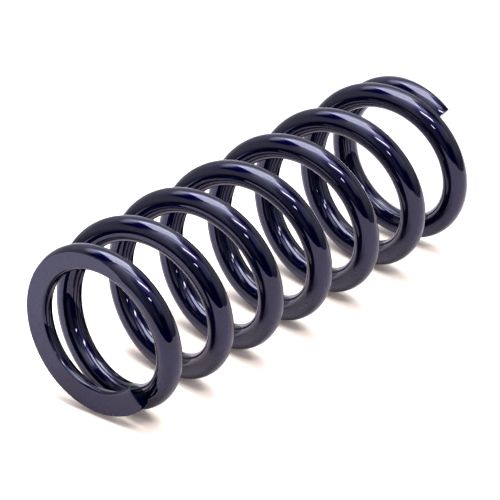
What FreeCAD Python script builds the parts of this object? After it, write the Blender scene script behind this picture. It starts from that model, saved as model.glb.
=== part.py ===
import FreeCAD, Part
import math
import os

# Coil spring for a coilover strut, wound right-handed from one bar of round wire.
# It stands on its lower ground end, with its axis on Z and the origin at the middle of that face.
# The lower tip of the wire points along +X. Sizes are in millimetres, and turns are counted
# along the wire from that tip.

# The bar and the overall sizes
WIRE_DIAMETER = 12.9
FREE_LENGTH = 254.0
TOTAL_TURNS = 7.73

# The end coils fit the seats, and the active coils between them are wound a little wider.
SEAT_INSIDE_DIAMETER = 63.5
COIL_INSIDE_DIAMETER = 68.5

# Both ends are closed: the wire first lies nearly flat, then leads into the open pitch.
CLOSED_TURNS = 0.5
LEAD_TURNS = 0.6
TIP_GAP = 0.3                # between a tip and the coil behind it

# Both ends are ground flat, and a cone breaks the bore edge of each ground face.
TIP_THICKNESS = 7.6          # what the grinding leaves of the wire at its tip
BORE_CHAMFER = 0.8

# The centre line is drawn as pairs of circular arcs that join in line.
ARC_PAIRS_PER_TURN = 8

wire_radius = WIRE_DIAMETER / 2
seat_radius = SEAT_INSIDE_DIAMETER / 2 + wire_radius
coil_radius = COIL_INSIDE_DIAMETER / 2 + wire_radius
tip_height = TIP_THICKNESS - wire_radius


def lead_share(turns):
    """How far the wire has gone over from closed end to open coil, from 0 to 1."""
    x = min(max((turns - CLOSED_TURNS) / LEAD_TURNS, 0.0), 1.0)
    return x * x * (3 - 2 * x)


def turns_lost(turns):
    """Turns of climb that the closed end and its lead give up, so far along the wire."""
    x = max((turns - CLOSED_TURNS) / LEAD_TURNS, 0.0)
    climbed = x ** 3 - x ** 4 / 2 if x < 1 else x - 0.5
    return turns - LEAD_TURNS * climbed


# The open pitch follows from the free length, and the closed one from the gap behind a tip.
closed_rise = WIRE_DIAMETER + TIP_GAP
centre_rise = FREE_LENGTH - 2 * tip_height
lost_at_end = CLOSED_TURNS + LEAD_TURNS / 2
lost_ratio = 2 * lost_at_end / turns_lost(1.0)
open_pitch = (centre_rise - closed_rise * lost_ratio) / (TOTAL_TURNS - lost_ratio)
pitch_drop = (open_pitch - closed_rise) / turns_lost(1.0)


def centre_point(turns):
    """Point on the wire's centre line, so many turns from the lower tip."""
    turns_left = TOTAL_TURNS - turns
    opened = min(lead_share(turns), lead_share(turns_left))
    radius = seat_radius + (coil_radius - seat_radius) * opened
    angle = 2 * math.pi * turns
    lost = turns_lost(turns) + turns_lost(TOTAL_TURNS) - turns_lost(turns_left)
    height = tip_height + open_pitch * turns - pitch_drop * lost
    return FreeCAD.Vector(radius * math.cos(angle), radius * math.sin(angle), height)


def direction(turns):
    """Unit direction of the centre line there, from two points close by."""
    step = 1e-4
    return (centre_point(turns + step) - centre_point(turns - step)).normalize()


def arc_to(start, corner, end):
    """Circular arc from start to end that touches both lines through the corner point."""
    middle = (start + end) / 2
    half_chord = (end - start).Length / 2
    leg = (corner - start).Length
    rise = half_chord * math.tan(math.acos(half_chord / leg) / 2)
    return Part.Arc(start, middle + (corner - middle).normalize() * rise, end).toShape()


def arc_pair(first, last):
    """Two arcs that leave and reach two points of the formula in the formula's directions."""
    start, end = centre_point(first), centre_point(last)
    leaving, arriving = direction(first), direction(last)
    chord = end - start
    along = chord.dot(leaving + arriving)
    turned = 2 * (1 - leaving.dot(arriving))
    leg = (math.sqrt(along ** 2 + turned * chord.dot(chord)) - along) / turned
    first_corner = start + leaving * leg
    last_corner = end - arriving * leg
    join = (first_corner + last_corner) / 2
    return [arc_to(start, first_corner, join), arc_to(join, last_corner, end)]


def centre_line():
    """The whole centre line, as one wire of arcs."""
    pair_count = math.ceil(TOTAL_TURNS * ARC_PAIRS_PER_TURN)
    step = TOTAL_TURNS / pair_count
    edges = []
    for pair in range(pair_count):
        edges += arc_pair(pair * step, (pair + 1) * step)
    return Part.Wire(edges)


def round_bar(path):
    """The bent bar before grinding, with its ends cut square."""
    section = Part.Circle(centre_point(0), direction(0), wire_radius).toShape()
    return path.makePipeShell([Part.Wire(section)], True, True)


def grinding_stock(height, outward):
    """What the grinding wheel takes off one end: all that stands past the end plane."""
    reach = coil_radius + 2 * wire_radius
    depth = 2 * WIRE_DIAMETER
    return Part.makeCylinder(
        reach, depth, FreeCAD.Vector(0, 0, height), FreeCAD.Vector(0, 0, outward)
    )


def chamfer_cone(height, outward):
    """The cone that breaks the bore edge of a ground face at 45 degrees."""
    bore = SEAT_INSIDE_DIAMETER / 2
    return Part.makeCone(
        bore + BORE_CHAMFER,
        0.0,
        bore + BORE_CHAMFER,
        FreeCAD.Vector(0, 0, height),
        FreeCAD.Vector(0, 0, -outward),
    )


path = centre_line()
bar = round_bar(path)
ground = bar
for height, outward in ((0.0, -1), (FREE_LENGTH, 1)):
    ground = ground.cut(grinding_stock(height, outward))
    ground = ground.cut(chamfer_cone(height, outward))
spring = ground.Solids[0]

os.makedirs("parts", exist_ok=True)
spring.exportStep("parts/coil_spring.step")
print("open pitch", round(open_pitch, 3), "closed pitch", round(open_pitch - pitch_drop, 3))
print("bar volume", round(bar.Volume, 1))
print("section times length", round(math.pi * wire_radius ** 2 * path.Length, 1))
print("solids", len(ground.Solids), "valid", spring.isValid(), "volume", round(spring.Volume, 1))
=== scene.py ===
import bpy
import math
from mathutils import Matrix, Vector


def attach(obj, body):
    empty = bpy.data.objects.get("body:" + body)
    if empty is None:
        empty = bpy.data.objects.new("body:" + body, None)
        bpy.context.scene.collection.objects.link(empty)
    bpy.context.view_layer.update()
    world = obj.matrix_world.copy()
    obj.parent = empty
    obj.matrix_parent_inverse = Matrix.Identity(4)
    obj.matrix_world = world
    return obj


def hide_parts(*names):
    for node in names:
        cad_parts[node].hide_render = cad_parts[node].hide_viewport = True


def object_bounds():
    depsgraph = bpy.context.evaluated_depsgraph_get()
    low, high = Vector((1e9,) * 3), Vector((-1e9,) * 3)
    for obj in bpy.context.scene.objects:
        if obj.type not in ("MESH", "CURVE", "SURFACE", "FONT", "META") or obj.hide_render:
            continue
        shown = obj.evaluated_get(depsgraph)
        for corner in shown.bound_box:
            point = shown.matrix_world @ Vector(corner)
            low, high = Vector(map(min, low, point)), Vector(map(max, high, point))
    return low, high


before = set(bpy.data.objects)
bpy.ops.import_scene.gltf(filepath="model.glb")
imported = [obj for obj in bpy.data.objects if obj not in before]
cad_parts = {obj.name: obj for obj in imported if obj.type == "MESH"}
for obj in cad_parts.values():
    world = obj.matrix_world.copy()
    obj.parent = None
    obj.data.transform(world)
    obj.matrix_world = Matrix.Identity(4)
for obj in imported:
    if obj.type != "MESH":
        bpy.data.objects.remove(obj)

cad_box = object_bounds()
box_low, box_high = (Vector(corner) for corner in cad_box)

# The view. The spring stands on its lower end, and the picture shows it lying on its side, so the
# camera is rolled about its line of sight. The lens is long and the camera stands well back.
CAMERA_AZIMUTH = math.radians(-11.44)    # from +X towards +Y
CAMERA_HEIGHT = math.radians(43.56)
CAMERA_ROLL = math.radians(-119.86)
CAMERA_DISTANCE = 1.958
CAMERA_FOCAL = 275.95
CAMERA_SENSOR = 36.0
AIM_RIGHT = 0.00318                      # the middle of the spring lies this far off the centre
AIM_UP = 0.00536

spring_middle = (box_low + box_high) / 2
spring_axis = Vector((0, 0, 1))
to_camera = Vector((
    math.cos(CAMERA_HEIGHT) * math.cos(CAMERA_AZIMUTH),
    math.cos(CAMERA_HEIGHT) * math.sin(CAMERA_AZIMUTH),
    math.sin(CAMERA_HEIGHT),
))
level_right = spring_axis.cross(to_camera).normalized()
level_up = to_camera.cross(level_right)
view_right = level_right * math.cos(CAMERA_ROLL) + level_up * math.sin(CAMERA_ROLL)
view_up = to_camera.cross(view_right)

camera_data = bpy.data.cameras.new("camera")
camera_data.lens = CAMERA_FOCAL
camera_data.sensor_width = CAMERA_SENSOR
camera_data.sensor_fit = "HORIZONTAL"
camera = bpy.data.objects.new("camera", camera_data)
camera_place = spring_middle + to_camera * CAMERA_DISTANCE - view_right * AIM_RIGHT - view_up * AIM_UP
camera.matrix_world = Matrix((
    (view_right.x, view_up.x, to_camera.x, camera_place.x),
    (view_right.y, view_up.y, to_camera.y, camera_place.y),
    (view_right.z, view_up.z, to_camera.z, camera_place.z),
    (0, 0, 0, 1),
))
bpy.context.collection.objects.link(camera)
bpy.context.scene.camera = camera
bpy.context.scene.view_settings.view_transform = "Standard"

# The spring. It is one bar of round spring steel, wound hot or cold on a mandrel, closed at both
# ends, cut square at the tips and ground flat, then coated all over. Its ground edges are eased
# by the coat, and a cone breaks the bore edge.
WIRE_RADIUS = 0.00645
SEAT_BORE_RADIUS = 0.03175
TOTAL_TURNS = 7.73
CLOSED_TURNS = 0.5
LEAD_TURNS = 0.6
TIP_GAP = 0.0003
TIP_THICKNESS = 0.0076
EDGE_RADIUS = 0.00045
BORE_CHAMFER = 0.0008

RINGS_PER_TURN = 100
EDGE_RINGS = 4
FLAT_STEPS, EDGE_STEPS, ROUND_STEPS = 9, 5, 22

free_length = box_high.z - box_low.z
coil_radius = (box_high.x - box_low.x) / 2 - WIRE_RADIUS
seat_radius = SEAT_BORE_RADIUS + WIRE_RADIUS
tip_height = TIP_THICKNESS - WIRE_RADIUS


def turns_lost(turns):
    """Turns of climb given up by the closed end and its lead, so far along the wire."""
    x = max((turns - CLOSED_TURNS) / LEAD_TURNS, 0.0)
    climbed = x ** 3 - x ** 4 / 2 if x < 1 else x - 0.5
    return turns - LEAD_TURNS * climbed


closed_rise = 2 * WIRE_RADIUS + TIP_GAP
lost_ratio = 2 * turns_lost(CLOSED_TURNS + LEAD_TURNS) / turns_lost(1.0)
open_pitch = (free_length - 2 * tip_height - closed_rise * lost_ratio) / (TOTAL_TURNS - lost_ratio)
pitch_drop = (open_pitch - closed_rise) / turns_lost(1.0)

ring_points = 2 * (FLAT_STEPS + EDGE_STEPS + ROUND_STEPS)
ring_count = round(TOTAL_TURNS * RINGS_PER_TURN) + 2 * EDGE_RINGS + 1

coil_sizes = {
    "Wire Radius": WIRE_RADIUS,
    "Seat Radius": seat_radius,
    "Coil Radius": coil_radius,
    "Free Length": free_length,
    "Total Turns": TOTAL_TURNS,
    "Closed Turns": CLOSED_TURNS,
    "Lead Turns": LEAD_TURNS,
    "Tip Height": tip_height,
    "Open Pitch": open_pitch,
    "Pitch Drop": pitch_drop,
    "Edge Radius": EDGE_RADIUS,
    "Bore Edge": SEAT_BORE_RADIUS + BORE_CHAMFER,
}


class Field:
    """A value in a node tree. Plain arithmetic on it adds the tree's Math nodes."""

    def __init__(self, tree, socket):
        self.tree = tree
        self.socket = socket

    def add(self, kind, settings=None, inputs=None, output=0):
        """A new node in the same tree, with its settings, then its values and links."""
        node = self.tree.nodes.new(kind)
        for name, value in (settings or {}).items():
            setattr(node, name, value)
        for name, value in (inputs or {}).items():
            if isinstance(value, Field):
                self.tree.links.new(value.socket, node.inputs[name])
            else:
                node.inputs[name].default_value = value
        return Field(self.tree, node.outputs[output] if node.outputs else None)

    def maths(self, operation, *others):
        """A Math node that works on this field first, and then on the others."""
        return self.add("ShaderNodeMath", {"operation": operation}, dict(enumerate((self, *others))))

    def __add__(self, other):
        return self.maths("ADD", other)

    def __radd__(self, other):
        return self.maths("ADD", other)

    def __sub__(self, other):
        return self.maths("SUBTRACT", other)

    def __rsub__(self, other):
        return self.add("ShaderNodeMath", {"operation": "SUBTRACT"}, {0: other, 1: self})

    def __mul__(self, other):
        return self.maths("MULTIPLY", other)

    def __rmul__(self, other):
        return self.maths("MULTIPLY", other)

    def __truediv__(self, other):
        return self.maths("DIVIDE", other)

    def __rtruediv__(self, other):
        return self.add("ShaderNodeMath", {"operation": "DIVIDE"}, {0: other, 1: self})

    def __pow__(self, other):
        return self.maths("POWER", other)

    def at_least(self, other):
        return self.maths("MAXIMUM", other)

    def at_most(self, other):
        return self.maths("MINIMUM", other)

    def clamped(self):
        return self.at_least(0.0).at_most(1.0)

    def below(self, other):
        return self.maths("LESS_THAN", other)

    def choose(self, when_one, when_zero):
        """One of two values, by this field, which is one or zero."""
        return self * when_one + (1 - self) * when_zero

    def smooth(self, start, end):
        """Zero before start, one past end, with an easy slope between."""
        share = ((self - start) / (end - start)).clamped()
        return share * share * (3 - 2 * share)

    def vector(self, x, y, z):
        return self.add("ShaderNodeCombineXYZ", None, {"X": x, "Y": y, "Z": z})


def new_coil_tree(material):
    """Geometry nodes that wind the bar: a straight tube whose points go to their place by rule."""
    tree = bpy.data.node_groups.new("wound_bar", "GeometryNodeTree")
    tree.interface.new_socket("Geometry", in_out="OUTPUT", socket_type="NodeSocketGeometry")
    for name, value in coil_sizes.items():
        socket = tree.interface.new_socket(name, in_out="INPUT", socket_type="NodeSocketFloat")
        socket.default_value = value
    inlet = tree.nodes.new("NodeGroupInput")
    size = {name: Field(tree, inlet.outputs[name]) for name in coil_sizes}
    start = Field(tree, None)

    line = start.add("GeometryNodeMeshLine", {"mode": "OFFSET"}, {"Count": ring_count})
    path = start.add("GeometryNodeMeshToCurve", None, {"Mesh": line})
    section = start.add("GeometryNodeCurvePrimitiveCircle", None, {"Resolution": ring_points})
    tube = start.add("GeometryNodeCurveToMesh", None,
                     {"Curve": path, "Profile Curve": section, "Fill Caps": True})

    index = start.add("GeometryNodeInputIndex")
    ring = ((index + 0.5) / ring_points).maths("FLOOR")
    point = index - ring * ring_points

    # Both ends are alike, so each ring is placed from the end that it is nearer to.
    lower = ring.below(ring_count / 2)
    ring_from_tip = ring.at_most(ring_count - 1 - ring)
    easing = (ring_from_tip / EDGE_RINGS).clamped() * (math.pi / 2)
    inset = size["Edge Radius"] * (1 - easing.maths("SINE"))
    eased = size["Edge Radius"] * (1 - easing.maths("COSINE"))
    edge_turns = size["Edge Radius"] / (2 * math.pi * size["Seat Radius"])
    step = (size["Total Turns"] - 2 * edge_turns) / (ring_count - 1 - 2 * EDGE_RINGS)
    turns = eased / (2 * math.pi * size["Seat Radius"]) + (ring_from_tip - EDGE_RINGS).at_least(0.0) * step

    # The centre line climbs slowly in the closed end, then leads into the open pitch.
    lead = ((turns - size["Closed Turns"]) / size["Lead Turns"]).at_least(0.0)
    share = lead.at_most(1.0)
    opened = share * share * (3 - 2 * share)
    climbed = share ** 3 - share ** 4 / 2 + (lead - share)
    lost = turns - size["Lead Turns"] * climbed
    height = size["Tip Height"] + size["Open Pitch"] * turns - size["Pitch Drop"] * lost
    radius = size["Seat Radius"] + (size["Coil Radius"] - size["Seat Radius"]) * opened
    pitch = size["Open Pitch"] - size["Pitch Drop"] * (1 - opened)
    slope = pitch / (2 * math.pi * radius)
    cosine = 1 / (1 + slope * slope) ** 0.5
    sine = slope * cosine
    turn_angle = 2 * math.pi * lower.choose(turns, size["Total Turns"] - turns)

    # The section is a round with the ground side cut off and the corners eased.
    bar = size["Wire Radius"] - inset
    cut = height / cosine - inset
    corner_high = cut - size["Edge Radius"]
    inner = bar - size["Edge Radius"]
    corner_wide = (inner * inner - corner_high * corner_high).at_least(0.0) ** 0.5
    flat_angle = corner_wide.maths("ARCTAN2", cut)
    round_angle = corner_wide.maths("ARCTAN2", corner_high)
    away = (height / size["Wire Radius"]).smooth(1.0, 2.0)
    even_step = math.pi / (FLAT_STEPS + EDGE_STEPS + ROUND_STEPS)
    flat_end = flat_angle.at_least(0.1 + away * (FLAT_STEPS * even_step - 0.1))
    edge_end = round_angle.at_least(flat_end + 0.05 + away * (EDGE_STEPS * even_step - 0.05))

    side = point.below(ring_points / 2)
    from_low = side.choose(point, ring_points - point)
    from_pole = lower.choose(from_low, ring_points / 2 - from_low)
    angle = (
        (from_pole / FLAT_STEPS).clamped() * flat_end
        + ((from_pole - FLAT_STEPS) / EDGE_STEPS).clamped() * (edge_end - flat_end)
        + ((from_pole - FLAT_STEPS - EDGE_STEPS) / ROUND_STEPS).clamped() * (math.pi - edge_end)
    )
    across = angle.maths("SINE")
    towards = angle.maths("COSINE")
    to_corner = across * corner_wide + towards * corner_high
    edge_reach = size["Edge Radius"] ** 2 - inner * inner + to_corner * to_corner
    on_edge = to_corner + edge_reach.at_least(0.0) ** 0.5
    on_flat = cut / towards.at_least(0.01)
    reach = angle.below(flat_angle).choose(on_flat, angle.below(round_angle).choose(on_edge, bar))

    outwards = side.choose(1.0, -1.0) * across * reach
    poleward = towards * reach
    tip_side = lower.choose(-1.0, 1.0)
    upwards = tip_side * poleward
    own_height = height - poleward * cosine
    own_radius = radius + outwards

    # The cone at the bore edge presses the metal back along its own slope.
    excess = (size["Bore Edge"] - own_radius - own_height).at_least(0.0)
    own_radius = own_radius + excess / 2
    own_height = own_height + excess / 2
    along = -1.0 * upwards * sine
    x = own_radius * turn_angle.maths("COSINE") - along * turn_angle.maths("SINE")
    y = own_radius * turn_angle.maths("SINE") + along * turn_angle.maths("COSINE")
    z = lower.choose(own_height, size["Free Length"] - own_height)

    placed = start.add("GeometryNodeSetPosition", None, {"Geometry": tube, "Position": start.vector(x, y, z)})
    shaded = start.add("GeometryNodeSetShadeSmooth", None, {"Geometry": placed, "Shade Smooth": True})
    real = start.add("GeometryNodeRealizeInstances", None, {"Geometry": shaded})
    finished = start.add("GeometryNodeSetMaterial", None, {"Geometry": real, "Material": material})
    outlet = tree.nodes.new("NodeGroupOutput")
    tree.links.new(finished.socket, outlet.inputs["Geometry"])
    return tree


# The coat is a navy powder coat, full of fine metal flake and faintly mottled, under a clear
# glossy top layer. Its flake turns bluer where it is seen at a glancing angle.
COAT_COLOUR = (0.0006, 0.0008, 0.0225, 1.0)
COAT_DEEP_COLOUR = (0.0004, 0.0006, 0.019, 1.0)
FLAKE_SHARE = 1.0
FLAKE_EDGE_COLOUR = (0.05, 0.05, 0.25, 1.0)
UNDER_ROUGHNESS = 0.40
TOP_ROUGHNESS = 0.018
TOP_INDEX = 1.5
SPECKLE_SIZE = 0.0009                    # one grain of the powder's faint mottle
SPECKLE_SHARE = 0.16
CLOUD_SIZE = 1 / 60                      # one patch of the slow change in depth and gloss
CLOUD_ROUGHNESS = 0.06


def new_coat():
    material = bpy.data.materials.new("navy_powder_coat")
    material.use_nodes = True
    tree = material.node_tree
    tree.nodes.clear()
    start = Field(tree, None)
    place = start.add("ShaderNodeTexCoord", None, None, "Object")
    clouds = start.add("ShaderNodeTexNoise", {"noise_dimensions": "3D"},
                       {"Vector": place, "Scale": 1 / CLOUD_SIZE, "Detail": 2.0, "Roughness": 0.5})
    colour = start.add("ShaderNodeMix", {"data_type": "RGBA"},
                       {"Factor": clouds.smooth(0.35, 0.65), 6: COAT_COLOUR, 7: COAT_DEEP_COLOUR}, 2)
    grains = start.add("ShaderNodeTexNoise", {"noise_dimensions": "3D"},
                       {"Vector": place, "Scale": 1 / SPECKLE_SIZE, "Detail": 1.0, "Roughness": 0.6})
    surface = start.add("ShaderNodeBsdfPrincipled", None, {
        "Base Color": colour,
        "Metallic": FLAKE_SHARE,
        "Roughness": UNDER_ROUGHNESS + CLOUD_ROUGHNESS * (clouds - 0.5),
        "Specular IOR Level": 0.0,
        "Specular Tint": FLAKE_EDGE_COLOUR,
        "Coat Weight": 1.0 - SPECKLE_SHARE * grains.smooth(0.35, 0.70),
        "Coat Roughness": TOP_ROUGHNESS,
        "Coat IOR": TOP_INDEX,
    })
    outlet = tree.nodes.new("ShaderNodeOutputMaterial")
    tree.links.new(surface.socket, outlet.inputs["Surface"])
    return material


coat = new_coat()
coil_tree = new_coil_tree(coat)
seed_mesh = bpy.data.meshes.new("coil_seed")
coil_seed = bpy.data.objects.new("coil_seed", seed_mesh)
bpy.context.collection.objects.link(coil_seed)
winding = coil_seed.modifiers.new("wound_bar", "NODES")
winding.node_group = coil_tree
for item in coil_tree.interface.items_tree:
    if item.in_out == "INPUT" and item.name in coil_sizes:
        winding[item.identifier] = coil_sizes[item.name]
wound_mesh = bpy.data.meshes.new_from_object(
    coil_seed.evaluated_get(bpy.context.evaluated_depsgraph_get()))
bpy.data.objects.remove(coil_seed)
wound_mesh.name = "wound_spring"
spring = bpy.data.objects.new("wound_spring", wound_mesh)
bpy.context.collection.objects.link(spring)
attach(spring, "root")
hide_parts("coil_spring")

# The stage. A white sheet lies along the coils' sides, as the picture's floor, and a plain floor
# carries the lower end. Both are white to the camera and keep the spring's shadow. The coat
# mirrors the sheet darker than the camera sees it. The sheet's mirrored colour also has painted
# light, brighter and bluer at its left.
SHEET_MATT = (0.56, 0.50, 0.57, 1)
SHEET_MATT_SEEN = (1.0, 0.90, 0.77, 1)
SHEET_LIFT = (0.05, 0.04, 0.035, 1)
BASE_LIFT = (1.0, 1.0, 1.0, 1)
SHEET_PAINTED_LIGHT_GAIN = (0.28, 0.36, 0.41)     # painted light: how much brighter and bluer the sheet's mirrored colour is past the near end
PAINTED_LIGHT_START, PAINTED_LIGHT_END = 0.03, 0.15
SHEET_FRONT = 0.27
SHEET_RIGHT = 0.32
SHEET_LEFT = 0.42
SHEET_REACH = 3.0

floor_up = view_right.cross(spring_axis).normalized()
if floor_up.dot(view_up) < 0:
    floor_up.negate()
floor_right = (view_right - floor_up * view_right.dot(floor_up)).normalized()
floor_front = floor_right.cross(floor_up)
outer_radius = (box_high.x - box_low.x) / 2
near_left = -box_high.z * floor_right.z


def new_floor_material(name, matt_colour, seen_colour, lift, one_sided):
    """A matt white. The camera sees it in its own colour and with a little light of its own. One-sided, it is
    clear from behind, and its mirrored colour carries painted light towards its left.
    """
    material = bpy.data.materials.new(name)
    material.use_nodes = True
    tree = material.node_tree
    tree.nodes.clear()
    start = Field(tree, None)
    camera_ray = start.add("ShaderNodeLightPath", None, None, "Is Camera Ray")
    if one_sided:
        place = start.add("ShaderNodeNewGeometry", None, None, "Position")
        to_left = start.add("ShaderNodeVectorMath", {"operation": "DOT_PRODUCT"},
                            {0: place, 1: tuple(-floor_right)}, "Value")
        # Painted light: past the near end the sheet's mirrored colour grows brighter and bluer, standing in
        # for more light on the sheet there.
        painted_light_share = to_left.smooth(near_left + PAINTED_LIGHT_START, near_left + PAINTED_LIGHT_END)
        matt_colour = start.vector(*(
            share * (1 + gain * painted_light_share) for share, gain in zip(matt_colour, SHEET_PAINTED_LIGHT_GAIN)))
    matt = start.add("ShaderNodeBsdfDiffuse", None, {"Color": matt_colour})
    seen_matt = start.add("ShaderNodeBsdfDiffuse", None, {"Color": seen_colour})
    seen_lift = start.add("ShaderNodeEmission", None, {"Color": lift, "Strength": 1.0})
    seen = start.add("ShaderNodeAddShader", None, {0: seen_matt, 1: seen_lift})
    floor = start.add("ShaderNodeMixShader", None, {0: camera_ray, 1: matt, 2: seen})
    if one_sided:
        behind = start.add("ShaderNodeNewGeometry", None, None, "Backfacing")
        clear = start.add("ShaderNodeBsdfTransparent")
        floor = start.add("ShaderNodeMixShader", None, {0: behind, 1: floor, 2: clear})
    outlet = tree.nodes.new("ShaderNodeOutputMaterial")
    tree.links.new(floor.socket, outlet.inputs["Surface"])
    return material


def new_stage_plane(name, corners, material):
    mesh = bpy.data.meshes.new(name)
    mesh.from_pydata([tuple(corner) for corner in corners], [], [(0, 1, 2, 3)])
    mesh.materials.append(material)
    plane = bpy.data.objects.new(name, mesh)
    bpy.context.collection.objects.link(plane)
    return plane


sheet_middle = spring_middle - floor_up * outer_radius
sheet_corners = [
    sheet_middle + floor_front * SHEET_FRONT - floor_right * SHEET_LEFT,
    sheet_middle + floor_front * SHEET_FRONT + floor_right * SHEET_RIGHT,
    sheet_middle - floor_front * SHEET_REACH + floor_right * SHEET_RIGHT,
    sheet_middle - floor_front * SHEET_REACH - floor_right * SHEET_LEFT,
]
sheet = new_stage_plane("floor_sheet", sheet_corners, new_floor_material(
    "white_sheet", SHEET_MATT, SHEET_MATT_SEEN, SHEET_LIFT, True))

BASE_REACH = 2.0
base_corners = [
    Vector((-BASE_REACH, -BASE_REACH, 0)),
    Vector((BASE_REACH, -BASE_REACH, 0)),
    Vector((BASE_REACH, BASE_REACH, 0)),
    Vector((-BASE_REACH, BASE_REACH, 0)),
]
base_floor = new_stage_plane("floor_base", base_corners, new_floor_material(
    "white_base", SHEET_MATT, SHEET_MATT, BASE_LIFT, False))
base_floor.visible_glossy = False
base_floor.visible_diffuse = False
base_floor.visible_shadow = False
base_floor.visible_transmission = False


# The light. A large soft box hangs over the sheet, a narrow one stands high in front on the
# right with a small one below it, and the room is dim in front and pale behind.
COLD_WHITE = (0.98, 1.0, 1.03)
WARM_WHITE = (1.08, 1.0, 1.02)


def heading(across_degrees, up_degrees):
    """Direction from the spring, by degrees to the right of the camera's side and degrees up."""
    across, up = math.radians(across_degrees), math.radians(up_degrees)
    level = floor_front * math.cos(across) + floor_right * math.sin(across)
    return level * math.cos(up) + floor_up * math.sin(up)


def new_soft_box(name, direction, distance, width_direction, width, length, radiance, colour):
    data = bpy.data.lights.new(name, "AREA")
    data.shape = "RECTANGLE"
    data.size = width
    data.size_y = length
    data.color = colour
    data.energy = radiance * math.pi * width * length
    lamp = bpy.data.objects.new(name, data)
    back = direction.normalized()
    side = (width_direction - back * width_direction.dot(back)).normalized()
    top = back.cross(side)
    place = spring_middle + back * distance
    lamp.matrix_world = Matrix((
        (side.x, top.x, back.x, place.x),
        (side.y, top.y, back.y, place.y),
        (side.z, top.z, back.z, place.z),
        (0, 0, 0, 1),
    ))
    bpy.context.collection.objects.link(lamp)
    return lamp


new_soft_box(
    "soft_box_above", heading(-163, 84.1), distance=1.2,
    width_direction=floor_right, width=0.91, length=0.84, radiance=10.0, colour=COLD_WHITE)
strip_left, strip_right = heading(9, 55.5), heading(50, 49.5)
new_soft_box(
    "soft_box_front", strip_left + strip_right, distance=1.0,
    width_direction=strip_right - strip_left, width=0.46, length=0.10, radiance=27.0, colour=WARM_WHITE)
new_soft_box(
    "soft_box_low", heading(8.5, 29.4), distance=1.0,
    width_direction=floor_right, width=0.11, length=0.05, radiance=36.0, colour=WARM_WHITE)

world = bpy.data.worlds.new("room")
bpy.context.scene.world = world
world.use_nodes = True
room = world.node_tree
room.nodes.clear()
room_start = Field(room, None)
ray = room_start.add("ShaderNodeTexCoord", None, None, "Generated")


def share_along(direction):
    return room_start.add("ShaderNodeVectorMath", {"operation": "DOT_PRODUCT"},
                          {0: ray, 1: tuple(direction)}, "Value")


ray_up = share_along(floor_up)
ray_right = share_along(floor_right)
ray_front = share_along(floor_front)
lift_degrees = ray_up.maths("ARCSINE") * (180 / math.pi)
turn_degrees = ray_right.maths("ARCTAN2", ray_front) * (180 / math.pi)


def patch(left, right, low, high, soft_across=5, soft_up=4):
    """One inside a stretch of the room's walls, fading to zero over its soft edges."""
    across = turn_degrees.smooth(left - soft_across, left + soft_across)
    across = across * (1 - turn_degrees.smooth(right - soft_across, right + soft_across))
    up = lift_degrees.smooth(low - soft_up, low + soft_up)
    return across * up * (1 - lift_degrees.smooth(high - soft_up, high + soft_up))


def wall_patches():
    """Light and dark stretches of the room's walls, as the coat mirrors them."""
    walls = 0.28 + 0.4 * lift_degrees.smooth(-7, 12)
    walls = walls + 0.25 * patch(-190, -120, 26, 46) + 0.25 * patch(150, 190, 26, 46)
    walls = walls + 0.45 * patch(163, 200, -4, 24) + 0.45 * patch(-200, -166, -4, 24)
    walls = walls + 0.35 * patch(-165, -125, -8, 8)
    walls = walls + 4.3 * patch(-200, -122, 53, 66, 5, 7) + 4.3 * patch(130, 200, 54, 66, 5, 8)
    walls = walls + 2.6 * patch(-150, -104, 44, 58, 6, 4) + 2.2 * patch(142, 160, 43, 50, 4, 3)
    walls = walls + 3.6 * patch(-50, 80, 61, 76) + 1.2 * patch(-54, -14, 44, 60)
    walls = walls + 0.45 * patch(-52, -27, 26, 48) + 0.6 * patch(66, 82, 26, 50)
    dark = patch(-22, 30, -90, 42, 7, 5).at_least(patch(-30, 56, -90, 20, 9, 6))
    dark = dark.at_least(patch(-112, -62, 54, 67)).at_least(patch(-94, -62, 34, 58))
    dark = dark.at_least(patch(82, 118, 38, 60))
    return walls * (1 - 0.985 * dark) + 0.2 * patch(-34, 8, -6, 40, 7, 5)


room_camera = room_start.add("ShaderNodeLightPath", None, None, "Is Camera Ray")
white = room_start.add("ShaderNodeBackground", None, {"Color": (1, 1, 1, 1), "Strength": 1.0})
wall_light = wall_patches()
mirrored = room_start.add("ShaderNodeBackground", None, {
    "Color": room_start.vector(wall_light, wall_light, 1.15 * wall_light),
    "Strength": 1.0,
})
both = room_start.add("ShaderNodeMixShader", None, {0: room_camera, 1: mirrored, 2: white})
room_out = room.nodes.new("ShaderNodeOutputWorld")
room.links.new(both.socket, room_out.inputs["Surface"])
